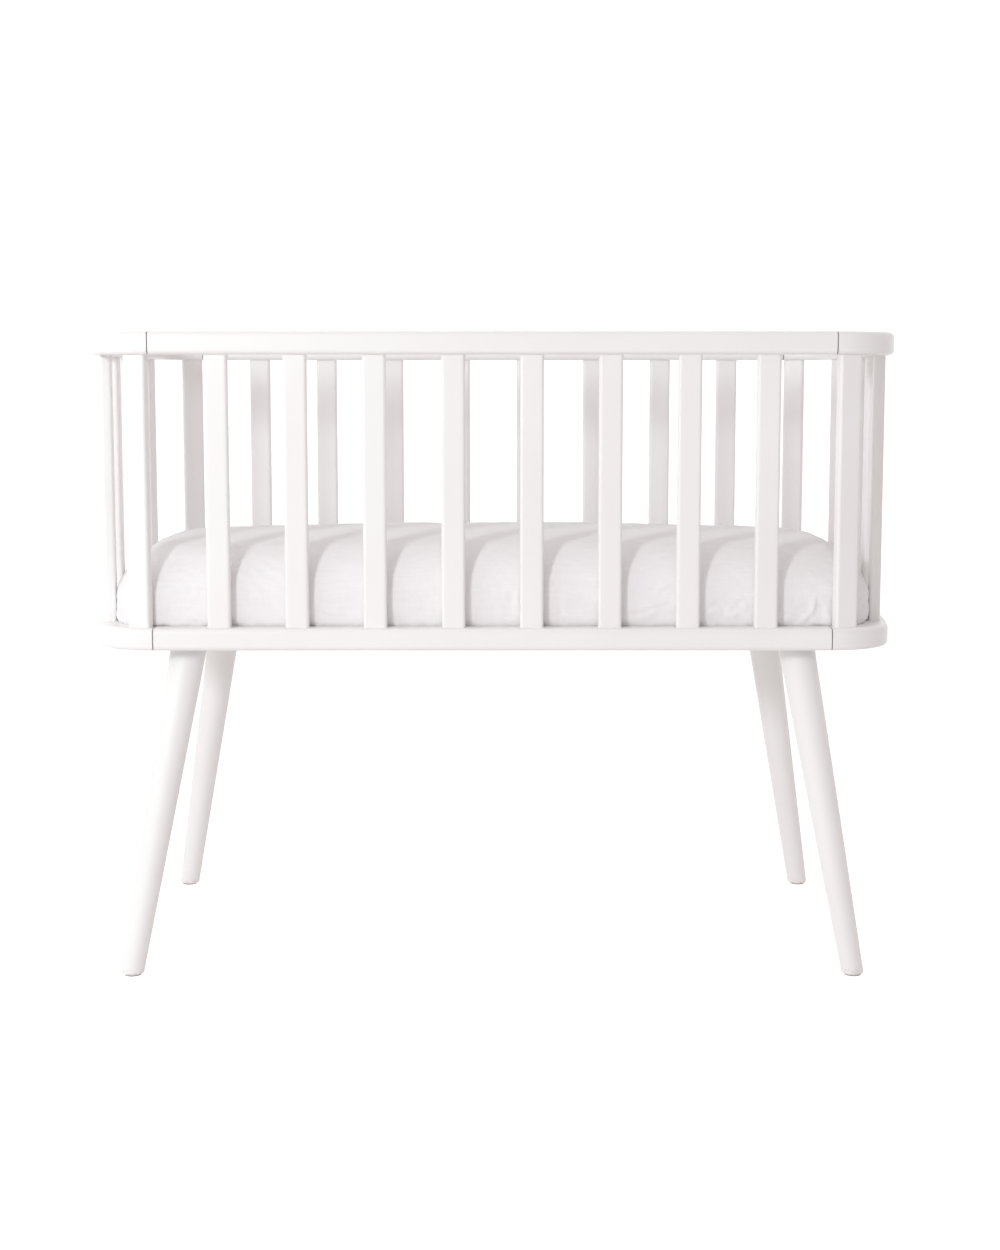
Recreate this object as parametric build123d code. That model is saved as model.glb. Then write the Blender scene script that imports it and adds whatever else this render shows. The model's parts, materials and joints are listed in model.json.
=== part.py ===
"""White painted wooden cradle: two slatted rings on four splayed legs, with a base board and a mattress.

Millimetres. X runs along the length, Y from front (-Y) to back (+Y), Z up.
The origin is on the floor under the middle of the cradle.
"""
import math
import os

from build123d import *

# Rings: a plan with straight long sides, round corners and slightly bowed ends
FRAME_DEPTH = 444.0
FRAME_HEIGHT = 720.0
STRAIGHT_RAIL_LENGTH = 750.0
CORNER_RADIUS = 59.0
END_BOW_RADIUS = 1000.0
RAIL_WIDTH = 30.0
RAIL_HEIGHT = 25.0
RAIL_EDGE_RADIUS = 5.5
SEAM_EASE = 0.8

# Slats, spaced along the centreline of the rings
SLAT_LENGTH = 300.0
SLAT_WIDTH = 26.0
SLAT_THICKNESS = 13.0
SLAT_EDGE_RADIUS = 3.5
END_SLAT_FROM_SEAM = 72.25
LONG_SIDE_SLATS = 8
END_SLATS = 4
CORNER_SLAT_PAST_SEAM = 16.0
TENON_WIDTH = 20.0
TENON_THICKNESS = 7.0
TENON_LENGTH = 10.0
MORTISE_SPARE_DEPTH = 1.0
WOOD_FIT = 0.1

# Dowels across the seams between straight rails and end rails
SEAM_DOWEL_DIAMETER = 6.0
SEAM_DOWEL_LENGTH = 30.0
SEAM_DOWEL_OFFSETS = (0.0, 8.5)
SEAM_DOWEL_DEPTH = 8.0

# Base board in a rebate under the lower ring
BOARD_THICKNESS = 12.0
REBATE_WIDTH = 9.0
BOARD_CLEARANCE = 0.5
VENT_DIAMETER = 20.0
VENT_PITCH_X = 90.0
VENT_PITCH_Y = 90.0
VENT_COLUMNS = 7
VENT_ROWS = 3

# Countersunk wood screws
BOARD_SCREW_DIAMETER = 3.5
BOARD_SCREW_HEAD_DIAMETER = 7.0
BOARD_SCREW_LENGTH = 20.0
BOARD_SCREWS_PER_LONG_SIDE = 5
BOARD_SCREWS_PER_END = 3
END_SCREW_PITCH = 100.0

# Legs, placed from the seams and the centreline of the long sides
LEG_TOP_FROM_SEAM = 30.0
LEG_TOP_FROM_SIDE_LINE = 50.0
LEG_SPLAY_X = 62.0
LEG_SPLAY_Y = 53.0
LEG_TOP_DIAMETER = 41.0
LEG_FOOT_DIAMETER = 25.0
FOOT_EDGE_RADIUS = 2.0
PAD_DIAMETER = 19.0
PAD_THICKNESS = 2.0

# Leg fixings
PLATE_SIZE = 62.0
PLATE_THICKNESS = 3.0
PLATE_CORNER_RADIUS = 6.0
PLATE_SCREW_SPACING = 49.0
PLATE_SCREW_DIAMETER = 4.0
PLATE_SCREW_HEAD_DIAMETER = 7.4
PLATE_SCREW_LENGTH = 13.0
BOLT_DIAMETER = 8.0
BOLT_LENGTH = 35.0
BOLT_HEAD_DIAMETER = 14.0
BOLT_HEAD_HEIGHT = 4.4
BOLT_SOCKET_ACROSS = 5.0
BOLT_SOCKET_DEPTH = 2.5
WASHER_DIAMETER = 18.0
WASHER_THICKNESS = 1.6
COUNTERBORE_DEPTH = 7.0
INSERT_DIAMETER = 12.0
INSERT_LENGTH = 18.0
INSERT_RECESS = 1.0
LEG_DOWEL_DIAMETER = 6.0
LEG_DOWEL_LENGTH = 22.0
LEG_DOWEL_INTO_BOARD = 6.0
LEG_DOWEL_FROM_BOLT = 13.0
METAL_FIT = 0.15

# Mattress and fitted sheet
MATTRESS_HEIGHT = 107.0
MATTRESS_SIDE_CLEARANCE = 1.0
MATTRESS_TOP_EDGE_RADIUS = 30.0
MATTRESS_BOTTOM_EDGE_RADIUS = 9.0
MATTRESS_DRAWN_IN = 3.0
CROWN_DROP_ENDS = 9.0
CROWN_DROP_SIDES = 8.0
SHEET_THICKNESS = 0.8
SHEET_CLEARANCE = 0.3
SHEET_HEM = 70.0
SHEET_MOUTH_RADIUS = 60.0

# Heights and places worked out from the sizes above
HALF_STRAIGHT = STRAIGHT_RAIL_LENGTH / 2
SLAT_PITCH = (STRAIGHT_RAIL_LENGTH - 2 * END_SLAT_FROM_SEAM) / (LONG_SIDE_SLATS - 1)
BOARD_SCREW_PITCH = 2 * SLAT_PITCH
SIDE_LINE_Y = FRAME_DEPTH / 2 - RAIL_WIDTH / 2
CORNER_Y = SIDE_LINE_Y - CORNER_RADIUS
BOW_ANGLE = math.asin(CORNER_Y / (END_BOW_RADIUS - CORNER_RADIUS))
BOW_CENTRE_X = HALF_STRAIGHT - (END_BOW_RADIUS - CORNER_RADIUS) * math.cos(BOW_ANGLE)
CORNER_ANGLE = math.pi / 2 - BOW_ANGLE
CORNER_ARC = CORNER_RADIUS * CORNER_ANGLE
BOW_ARC = 2 * END_BOW_RADIUS * BOW_ANGLE

LEG_TOP_X = HALF_STRAIGHT - LEG_TOP_FROM_SEAM
LEG_TOP_Y = SIDE_LINE_Y - LEG_TOP_FROM_SIDE_LINE
LEG_FOOT_X = LEG_TOP_X + LEG_SPLAY_X
LEG_FOOT_Y = LEG_TOP_Y + LEG_SPLAY_Y

TOP_RING_Z = FRAME_HEIGHT - RAIL_HEIGHT
LOWER_RING_TOP_Z = TOP_RING_Z - SLAT_LENGTH
LOWER_RING_Z = LOWER_RING_TOP_Z - RAIL_HEIGHT
BOARD_TOP_Z = LOWER_RING_Z + BOARD_THICKNESS
LEG_TOP_Z = LOWER_RING_Z - PLATE_THICKNESS
SHEET_BOTTOM_Z = BOARD_TOP_Z + SHEET_CLEARANCE
MATTRESS_BOTTOM_Z = SHEET_BOTTOM_Z + SHEET_THICKNESS + SHEET_CLEARANCE
WASHER_Z = BOARD_TOP_Z - COUNTERBORE_DEPTH
MATTRESS_OFFSET = -RAIL_WIDTH / 2 - MATTRESS_SIDE_CLEARANCE - SHEET_THICKNESS - SHEET_CLEARANCE
RING_INNER_OFFSET = -RAIL_WIDTH / 2
BOARD_OFFSET = RING_INNER_OFFSET + REBATE_WIDTH - BOARD_CLEARANCE

LEG_SIDES = {"front_left": (-1, -1), "front_right": (1, -1), "back_left": (-1, 1), "back_right": (1, 1)}


def ring_outline(offset):
    """Closed face at a distance outside (positive) or inside the centreline of the rings."""
    corner = CORNER_RADIUS + offset
    bow = END_BOW_RADIUS + offset
    side_y = SIDE_LINE_Y + offset
    quarter = []
    for sx, sy in ((1, -1), (1, 1), (-1, 1), (-1, -1)):
        centre = Vector(sx * HALF_STRAIGHT, sy * CORNER_Y)
        on_side = Vector(sx * HALF_STRAIGHT, sy * side_y)
        half = CORNER_ANGLE / 2
        middle = centre + Vector(sx * corner * math.sin(half), sy * corner * math.cos(half))
        reach = Vector(sx * corner * math.sin(CORNER_ANGLE), sy * corner * math.cos(CORNER_ANGLE))
        quarter.append((on_side, middle, centre + reach))
    right_tip = Vector(BOW_CENTRE_X + bow, 0)
    left_tip = Vector(-BOW_CENTRE_X - bow, 0)
    front_right, back_right, back_left, front_left = quarter
    edges = [
        Line(front_left[0], front_right[0]),
        ThreePointArc(*front_right),
        ThreePointArc(front_right[2], right_tip, back_right[2]),
        ThreePointArc(*reversed(back_right)),
        Line(back_right[0], back_left[0]),
        ThreePointArc(*back_left),
        ThreePointArc(back_left[2], left_tip, front_left[2]),
        ThreePointArc(*reversed(front_left)),
    ]
    return make_face(edges)


def ring_prism(offset, bottom_z, height):
    """Upright solid with a ring outline."""
    return extrude(Plane.XY.offset(bottom_z) * ring_outline(offset), amount=height, dir=(0, 0, 1))


def ring_place(distance):
    """Place on the front right quarter of the centreline, measured from the front middle.

    Returns x, y and the heading of the centreline in radians, counted from +X.
    """
    if distance <= HALF_STRAIGHT:
        return distance, -SIDE_LINE_Y, 0.0
    past_seam = distance - HALF_STRAIGHT
    if past_seam <= CORNER_ARC:
        turn = past_seam / CORNER_RADIUS
        x = HALF_STRAIGHT + CORNER_RADIUS * math.sin(turn)
        return x, -CORNER_Y - CORNER_RADIUS * math.cos(turn), turn
    turn = CORNER_ANGLE + (past_seam - CORNER_ARC) / END_BOW_RADIUS
    x = BOW_CENTRE_X + END_BOW_RADIUS * math.sin(turn)
    return x, -END_BOW_RADIUS * math.cos(turn), turn


def slat_places():
    """Name, x, y and heading in degrees of every slat."""
    places = {}
    first = -(LONG_SIDE_SLATS - 1) / 2 * SLAT_PITCH
    for i in range(LONG_SIDE_SLATS):
        x = first + i * SLAT_PITCH
        places[f"slat_front_{i + 1}"] = (x, -SIDE_LINE_Y, 0.0)
        places[f"slat_back_{i + 1}"] = (x, SIDE_LINE_Y, 0.0)
    x, y, turn = ring_place(HALF_STRAIGHT + CORNER_SLAT_PAST_SEAM)
    for corner, (sx, sy) in LEG_SIDES.items():
        places[f"slat_corner_{corner}"] = (sx * x, -sy * y, -sx * sy * math.degrees(turn))
    end_length = 2 * CORNER_ARC + BOW_ARC - 2 * CORNER_SLAT_PAST_SEAM
    step = end_length / (END_SLATS + 1)
    for i in range(END_SLATS):
        distance = HALF_STRAIGHT + CORNER_SLAT_PAST_SEAM + (i + 1) * step
        x, y, turn = ring_place(distance)
        places[f"slat_right_{i + 1}"] = (x, y, math.degrees(turn))
        places[f"slat_left_{i + 1}"] = (-x, y, -math.degrees(turn))
    return places


def centred_box(width, depth, height, bottom_z):
    """Box centred on the Z axis."""
    return Pos(0, 0, bottom_z) * Box(width, depth, height, align=(Align.CENTER, Align.CENTER, Align.MIN))


def upright_rod(diameter, bottom_z, height):
    """Cylinder on the Z axis."""
    return Pos(0, 0, bottom_z) * Cylinder(diameter / 2, height, align=(Align.CENTER, Align.CENTER, Align.MIN))


def make_slat():
    """Slat with a stub tenon at both ends, standing at the origin of its own place."""
    section = RectangleRounded(SLAT_WIDTH, SLAT_THICKNESS, SLAT_EDGE_RADIUS)
    blade = extrude(Plane.XY.offset(LOWER_RING_TOP_Z) * section, amount=SLAT_LENGTH, dir=(0, 0, 1))
    height = SLAT_LENGTH + 2 * TENON_LENGTH
    tenons = centred_box(TENON_WIDTH, TENON_THICKNESS, height, LOWER_RING_TOP_Z - TENON_LENGTH)
    return blade + tenons


def make_mortise_tool():
    """What one slat cuts out of both rings."""
    depth = TENON_LENGTH + MORTISE_SPARE_DEPTH
    width = TENON_WIDTH + 2 * WOOD_FIT
    thickness = TENON_THICKNESS + 2 * WOOD_FIT
    return centred_box(width, thickness, SLAT_LENGTH + 2 * depth, LOWER_RING_TOP_Z - depth)


def placed(shape, place):
    """Shape moved to a place on the ring."""
    x, y, heading = place
    return Pos(x, y, 0) * Rot(0, 0, heading) * shape


def seam_dowel_places():
    """Middle of every dowel across a seam."""
    heights = (LOWER_RING_Z + SEAM_DOWEL_DEPTH, FRAME_HEIGHT - SEAM_DOWEL_DEPTH)
    places = []
    for sx, sy in LEG_SIDES.values():
        for offset in SEAM_DOWEL_OFFSETS:
            for z in heights:
                places.append((sx * HALF_STRAIGHT, sy * (SIDE_LINE_Y + offset), z))
    return places


def make_seam_dowels(fit=0.0, spare=0.0):
    """Dowels along X across the seams, or the holes for them with a fit and a spare depth."""
    rod = Rot(0, 90, 0) * Cylinder(SEAM_DOWEL_DIAMETER / 2 + fit, SEAM_DOWEL_LENGTH + 2 * spare)
    return [Pos(*place) * rod for place in seam_dowel_places()]


def with_eased_seams(piece, seam_xs):
    """Piece with a small chamfer round each seam face, so that a V groove shows at the joint."""
    for x in seam_xs:
        face = piece.faces().filter_by(Axis.X).filter_by(lambda f: abs(f.center().X - x) < 0.01)
        piece = chamfer(face.edges(), SEAM_EASE)
    return piece


def make_straight_rail(side, bottom_z):
    """Straight rail of a ring on the front (-1) or back (1) side."""
    rail = Pos(0, side * SIDE_LINE_Y, 0) * centred_box(STRAIGHT_RAIL_LENGTH, RAIL_WIDTH, RAIL_HEIGHT, bottom_z)
    rail = fillet(rail.edges().filter_by(Axis.X), RAIL_EDGE_RADIUS)
    return with_eased_seams(rail, (-HALF_STRAIGHT, HALF_STRAIGHT))


def make_end_rail(side, bottom_z):
    """Bowed U-shaped rail of a ring on the left (-1) or right (1) end."""
    outer = ring_prism(RAIL_WIDTH / 2, bottom_z, RAIL_HEIGHT)
    inner = ring_prism(-RAIL_WIDTH / 2, bottom_z, RAIL_HEIGHT)
    reach = FRAME_DEPTH
    keep = Pos(side * (HALF_STRAIGHT + reach / 2), 0, 0) * centred_box(reach, 2 * reach, RAIL_HEIGHT, bottom_z)
    rail = (outer - inner) & keep
    seam_x = side * HALF_STRAIGHT
    flat = rail.edges().filter_by(lambda e: abs(e.bounding_box().size.Z) < 0.01)
    rail = fillet(flat.filter_by(lambda e: abs(e.center().X - seam_x) > 0.01), RAIL_EDGE_RADIUS)
    return with_eased_seams(rail, (seam_x,))


def make_rings(places):
    """The eight rails, with mortises, dowel holes and the rebate for the base board."""
    mortise = make_mortise_tool()
    mortises = [placed(mortise, place) for place in places.values()]
    holes = make_seam_dowels(WOOD_FIT, MORTISE_SPARE_DEPTH)
    rebate = ring_prism(BOARD_OFFSET + BOARD_CLEARANCE, LOWER_RING_Z, BOARD_THICKNESS)
    rails = {}
    for ring, bottom_z in (("lower", LOWER_RING_Z), ("upper", TOP_RING_Z)):
        rails[f"{ring}_front_rail"] = make_straight_rail(-1, bottom_z)
        rails[f"{ring}_back_rail"] = make_straight_rail(1, bottom_z)
        rails[f"{ring}_left_end_rail"] = make_end_rail(-1, bottom_z)
        rails[f"{ring}_right_end_rail"] = make_end_rail(1, bottom_z)
    for name, rail in rails.items():
        box = rail.bounding_box()
        near = [tool for tool in mortises + holes if boxes_meet(box, tool.bounding_box())]
        rail = rail.cut(*near)
        if name.startswith("lower"):
            rail = rail.cut(rebate)
            rail = rail.cut(*make_board_screws(WOOD_FIT, MORTISE_SPARE_DEPTH))
        rails[name] = rail
    return rails


def boxes_meet(a, b):
    """Whether two bounding boxes share space."""
    apart_x = a.max.X < b.min.X or b.max.X < a.min.X
    apart_y = a.max.Y < b.min.Y or b.max.Y < a.min.Y
    apart_z = a.max.Z < b.min.Z or b.max.Z < a.min.Z
    return not (apart_x or apart_y or apart_z)


def countersunk_screw(diameter, head_diameter, length, fit=0.0, spare=0.0):
    """Screw that points up from the plane z = 0, or its hole with a fit and a spare depth."""
    head_depth = (head_diameter - diameter) / 2
    head = Cone(
        head_diameter / 2 + fit,
        diameter / 2 + fit,
        head_depth,
        align=(Align.CENTER, Align.CENTER, Align.MIN),
    )
    return head + upright_rod(diameter + 2 * fit, 0, length + spare)


def board_screw_places():
    """x and y of every screw that holds the base board in its rebate."""
    offset = RING_INNER_OFFSET + REBATE_WIDTH / 2
    places = []
    first = -(BOARD_SCREWS_PER_LONG_SIDE - 1) / 2 * BOARD_SCREW_PITCH
    for i in range(BOARD_SCREWS_PER_LONG_SIDE):
        for side in (-1, 1):
            places.append((first + i * BOARD_SCREW_PITCH, side * (SIDE_LINE_Y + offset)))
    radius = END_BOW_RADIUS + offset
    for i in range(BOARD_SCREWS_PER_END):
        y = (i - (BOARD_SCREWS_PER_END - 1) / 2) * END_SCREW_PITCH
        x = BOW_CENTRE_X + math.sqrt(radius**2 - y**2)
        places.append((x, y))
        places.append((-x, y))
    return places


def make_board_screws(fit=0.0, spare=0.0):
    """Screws up through the base board into the lower ring, or their holes."""
    screw = countersunk_screw(
        BOARD_SCREW_DIAMETER, BOARD_SCREW_HEAD_DIAMETER, BOARD_SCREW_LENGTH, fit, spare
    )
    return [Pos(x, y, LOWER_RING_Z) * screw for x, y in board_screw_places()]


def plate_screw_places(leg):
    """x and y of the four wood screws of one leg's plate."""
    sx, sy = LEG_SIDES[leg]
    half = PLATE_SCREW_SPACING / 2
    return [(sx * LEG_TOP_X + dx * half, sy * LEG_TOP_Y + dy * half) for dx in (-1, 1) for dy in (-1, 1)]


def make_plate_screws(fit=0.0, spare=0.0):
    """Screws up through the leg plates into the base board, or their holes."""
    screw = countersunk_screw(
        PLATE_SCREW_DIAMETER, PLATE_SCREW_HEAD_DIAMETER, PLATE_SCREW_LENGTH, fit, spare
    )
    return [Pos(x, y, LEG_TOP_Z) * screw for leg in LEG_SIDES for x, y in plate_screw_places(leg)]


def leg_top_place(leg):
    """x and y where a leg meets its plate."""
    sx, sy = LEG_SIDES[leg]
    return sx * LEG_TOP_X, sy * LEG_TOP_Y


def leg_dowel_place(leg):
    """x and y of the dowel that stops a leg from turning, on its inner side."""
    sx, sy = LEG_SIDES[leg]
    return sx * (LEG_TOP_X - LEG_DOWEL_FROM_BOLT), sy * LEG_TOP_Y


def make_leg_dowel(leg, fit=0.0, spare=0.0):
    """Dowel from the top of a leg through its plate into the base board, or its hole."""
    bottom_z = LOWER_RING_Z + LEG_DOWEL_INTO_BOARD - LEG_DOWEL_LENGTH
    rod = upright_rod(LEG_DOWEL_DIAMETER + 2 * fit, bottom_z - spare, LEG_DOWEL_LENGTH + 2 * spare)
    x, y = leg_dowel_place(leg)
    return Pos(x, y, 0) * rod


def make_leg_plate(leg):
    """Flat steel plate between the base board and the top of a leg."""
    x, y = leg_top_place(leg)
    blank = RectangleRounded(PLATE_SIZE, PLATE_SIZE, PLATE_CORNER_RADIUS)
    plate = extrude(Plane.XY.offset(LEG_TOP_Z) * blank, amount=PLATE_THICKNESS, dir=(0, 0, 1))
    plate = Pos(x, y, 0) * plate
    bolt_hole = Pos(x, y, 0) * upright_rod(BOLT_DIAMETER + 2 * METAL_FIT, LEG_TOP_Z, PLATE_THICKNESS)
    return plate.cut(bolt_hole, make_leg_dowel(leg, METAL_FIT), *make_plate_screws(METAL_FIT))


def make_leg_bolt(leg):
    """Button-head bolt down through board and plate into the insert in a leg."""
    x, y = leg_top_place(leg)
    head_z = WASHER_Z + WASHER_THICKNESS
    head = fillet(
        upright_rod(BOLT_HEAD_DIAMETER, head_z, BOLT_HEAD_HEIGHT).edges().filter_by(GeomType.CIRCLE)[-1:],
        BOLT_HEAD_HEIGHT / 3,
    )
    socket = extrude(
        Plane.XY.offset(head_z + BOLT_HEAD_HEIGHT - BOLT_SOCKET_DEPTH)
        * RegularPolygon(BOLT_SOCKET_ACROSS / 2, 6, major_radius=False),
        amount=BOLT_SOCKET_DEPTH,
        dir=(0, 0, 1),
    )
    shank = upright_rod(BOLT_DIAMETER, head_z - BOLT_LENGTH, BOLT_LENGTH)
    return Pos(x, y, 0) * (head + shank - socket)


def make_leg_washer(leg):
    """Washer at the bottom of the counterbore in the base board."""
    x, y = leg_top_place(leg)
    ring = upright_rod(WASHER_DIAMETER, WASHER_Z, WASHER_THICKNESS)
    return Pos(x, y, 0) * (ring - upright_rod(BOLT_DIAMETER + 2 * METAL_FIT, WASHER_Z, WASHER_THICKNESS))


def make_leg_insert(leg):
    """Threaded insert in the top of a leg, drawn with a plain bore."""
    x, y = leg_top_place(leg)
    bottom_z = LEG_TOP_Z - INSERT_RECESS - INSERT_LENGTH
    body = upright_rod(INSERT_DIAMETER, bottom_z, INSERT_LENGTH)
    return Pos(x, y, 0) * (body - upright_rod(BOLT_DIAMETER + 2 * METAL_FIT, bottom_z, INSERT_LENGTH))


def make_leg(leg):
    """Round tapered leg, cut level at the top and at the foot."""
    sx, sy = LEG_SIDES[leg]
    top = Vector(sx * LEG_TOP_X, sy * LEG_TOP_Y, LEG_TOP_Z)
    foot = Vector(sx * LEG_FOOT_X, sy * LEG_FOOT_Y, PAD_THICKNESS)
    axis = top - foot
    taper = (LEG_TOP_DIAMETER - LEG_FOOT_DIAMETER) / 2 / axis.length
    spare = LEG_TOP_DIAMETER
    low = foot - axis.normalized() * spare
    turned = Cone(
        LEG_FOOT_DIAMETER / 2 - taper * spare,
        LEG_TOP_DIAMETER / 2 + taper * spare,
        axis.length + 2 * spare,
        align=(Align.CENTER, Align.CENTER, Align.MIN),
    )
    reach = 2 * LEG_FOOT_X
    slab = Pos(sx * LEG_TOP_X, sy * LEG_TOP_Y, 0) * centred_box(
        reach, reach, LEG_TOP_Z - PAD_THICKNESS, PAD_THICKNESS
    )
    body = (Plane(origin=low, z_dir=axis) * turned) & slab
    body = fillet(body.edges().sort_by(Axis.Z)[:1], FOOT_EDGE_RADIUS)
    x, y = leg_top_place(leg)
    insert_depth = INSERT_RECESS + INSERT_LENGTH
    insert_hole = upright_rod(INSERT_DIAMETER + 2 * WOOD_FIT, LEG_TOP_Z - insert_depth, insert_depth)
    bolt_end = WASHER_Z + WASHER_THICKNESS - BOLT_LENGTH - MORTISE_SPARE_DEPTH
    bolt_hole = upright_rod(BOLT_DIAMETER + 2 * METAL_FIT, bolt_end, LEG_TOP_Z - bolt_end)
    return body.cut(
        Pos(x, y, 0) * insert_hole,
        Pos(x, y, 0) * bolt_hole,
        make_leg_dowel(leg, WOOD_FIT, MORTISE_SPARE_DEPTH),
    )


def make_foot_pad(leg):
    """Felt pad under a foot."""
    sx, sy = LEG_SIDES[leg]
    return Pos(sx * LEG_FOOT_X, sy * LEG_FOOT_Y, 0) * upright_rod(PAD_DIAMETER, 0, PAD_THICKNESS)


def make_base_board():
    """Plywood board with ventilation holes and the holes for every fixing."""
    board = ring_prism(BOARD_OFFSET, LOWER_RING_Z, BOARD_THICKNESS)
    vent = upright_rod(VENT_DIAMETER, LOWER_RING_Z, BOARD_THICKNESS)
    vents = [
        Pos((i - (VENT_COLUMNS - 1) / 2) * VENT_PITCH_X, (j - (VENT_ROWS - 1) / 2) * VENT_PITCH_Y, 0) * vent
        for i in range(VENT_COLUMNS)
        for j in range(VENT_ROWS)
    ]
    counterbore = upright_rod(WASHER_DIAMETER + 2 * METAL_FIT, WASHER_Z, COUNTERBORE_DEPTH)
    bolt_hole = upright_rod(BOLT_DIAMETER + 2 * METAL_FIT, LOWER_RING_Z, BOARD_THICKNESS)
    fixings = []
    for leg in LEG_SIDES:
        x, y = leg_top_place(leg)
        fixings += [Pos(x, y, 0) * counterbore, Pos(x, y, 0) * bolt_hole]
        fixings.append(make_leg_dowel(leg, WOOD_FIT, MORTISE_SPARE_DEPTH))
    screws = make_board_screws(WOOD_FIT) + make_plate_screws(WOOD_FIT, MORTISE_SPARE_DEPTH / 2)
    return board.cut(*vents, *fixings, *screws)


def crowned_block(top_z):
    """Block wider and longer than the mattress, whose upper face has the mattress's crown."""
    half_length = BOW_CENTRE_X + END_BOW_RADIUS + MATTRESS_OFFSET
    half_width = SIDE_LINE_Y + MATTRESS_OFFSET
    along = (half_length**2 + CROWN_DROP_ENDS**2) / (2 * CROWN_DROP_ENDS)
    across = (half_width**2 + CROWN_DROP_SIDES**2) / (2 * CROWN_DROP_SIDES)
    reach = half_width + RAIL_WIDTH
    arc_end_z = top_z - across + math.sqrt(across**2 - reach**2)
    low_z = top_z - 2 * MATTRESS_HEIGHT
    profile = Plane.YZ * make_face([
        ThreePointArc((-reach, arc_end_z), (0, top_z), (reach, arc_end_z)),
        Line((reach, arc_end_z), (reach, low_z)),
        Line((reach, low_z), (-reach, low_z)),
        Line((-reach, low_z), (-reach, arc_end_z)),
    ])
    half_turn = math.degrees(math.asin((half_length + RAIL_WIDTH) / along))
    pivot = Axis((0, 0, top_z - along), (0, 1, 0))
    return revolve(profile.rotate(pivot, -half_turn), pivot, revolution_arc=2 * half_turn)


def mattress_form(grow=0.0):
    """Crowned block with drawn-in sides, or the same form grown by a little all round."""
    bottom_z = MATTRESS_BOTTOM_Z - grow
    top_z = MATTRESS_BOTTOM_Z + MATTRESS_HEIGHT + grow
    waist_z = MATTRESS_BOTTOM_Z + MATTRESS_HEIGHT / 2
    waist = Plane.XY.offset(waist_z) * ring_outline(MATTRESS_OFFSET + grow)
    taper = math.degrees(math.atan(MATTRESS_DRAWN_IN / (MATTRESS_HEIGHT / 2)))
    lower = extrude(waist, amount=waist_z - bottom_z, dir=(0, 0, -1), taper=taper)
    upper = extrude(waist, amount=MATTRESS_HEIGHT, dir=(0, 0, 1), taper=taper)
    block = (lower + upper) & crowned_block(top_z)
    rim = [e for e in block.edges() if e.bounding_box().min.Z > waist_z + MATTRESS_HEIGHT / 4]
    block = fillet(rim, MATTRESS_TOP_EDGE_RADIUS + grow)
    foot = [e for e in block.edges() if e.bounding_box().max.Z < bottom_z + 0.1]
    return fillet(foot, MATTRESS_BOTTOM_EDGE_RADIUS + grow)


def make_fitted_sheet():
    """Fitted sheet: a skin over the top and sides with a hem turned in under the mattress."""
    skin = mattress_form(SHEET_CLEARANCE + SHEET_THICKNESS) - mattress_form(SHEET_CLEARANCE)
    length = 2 * (BOW_CENTRE_X + END_BOW_RADIUS + MATTRESS_OFFSET - SHEET_HEM)
    width = 2 * (SIDE_LINE_Y + MATTRESS_OFFSET - SHEET_HEM)
    mouth = RectangleRounded(length, width, SHEET_MOUTH_RADIUS)
    height = MATTRESS_BOTTOM_Z - SHEET_BOTTOM_Z
    return skin - extrude(Plane.XY.offset(SHEET_BOTTOM_Z) * mouth, amount=height, dir=(0, 0, 1))


def export(name, shapes):
    """Write one node as a STEP file."""
    shape = shapes if not isinstance(shapes, list) else Compound(children=shapes)
    export_step(shape, os.path.join("parts", f"{name}.step"))


def main():
    """Build every piece and write its file."""
    os.makedirs("parts", exist_ok=True)
    places = slat_places()
    slat = make_slat()
    for name, place in places.items():
        export(name, placed(slat, place))
    for name, rail in make_rings(places).items():
        export(name, rail)
    export("seam_dowels", make_seam_dowels())
    export("base_board", make_base_board())
    export("base_board_screws", make_board_screws())
    for leg in LEG_SIDES:
        export(f"leg_{leg}", make_leg(leg))
        export(f"foot_pad_{leg}", make_foot_pad(leg))
        export(f"leg_plate_{leg}", make_leg_plate(leg))
    export("leg_plate_screws", make_plate_screws())
    export("leg_bolts", [make_leg_bolt(leg) for leg in LEG_SIDES])
    export("leg_bolt_washers", [make_leg_washer(leg) for leg in LEG_SIDES])
    export("leg_inserts", [make_leg_insert(leg) for leg in LEG_SIDES])
    export("leg_dowels", [make_leg_dowel(leg) for leg in LEG_SIDES])
    export("mattress", mattress_form())
    export("fitted_sheet", make_fitted_sheet())


main()
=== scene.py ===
"""White painted slatted cradle with its mattress and fitted sheet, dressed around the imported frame.

Metres. X runs along the length, Y from front (-Y) to back (+Y), Z up, with the floor at zero.
"""

import json
import logging
import math
from collections.abc import Callable
from dataclasses import dataclass, field
from enum import Enum

import bpy
import numpy as np
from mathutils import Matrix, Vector
from mathutils.bvhtree import BVHTree

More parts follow.
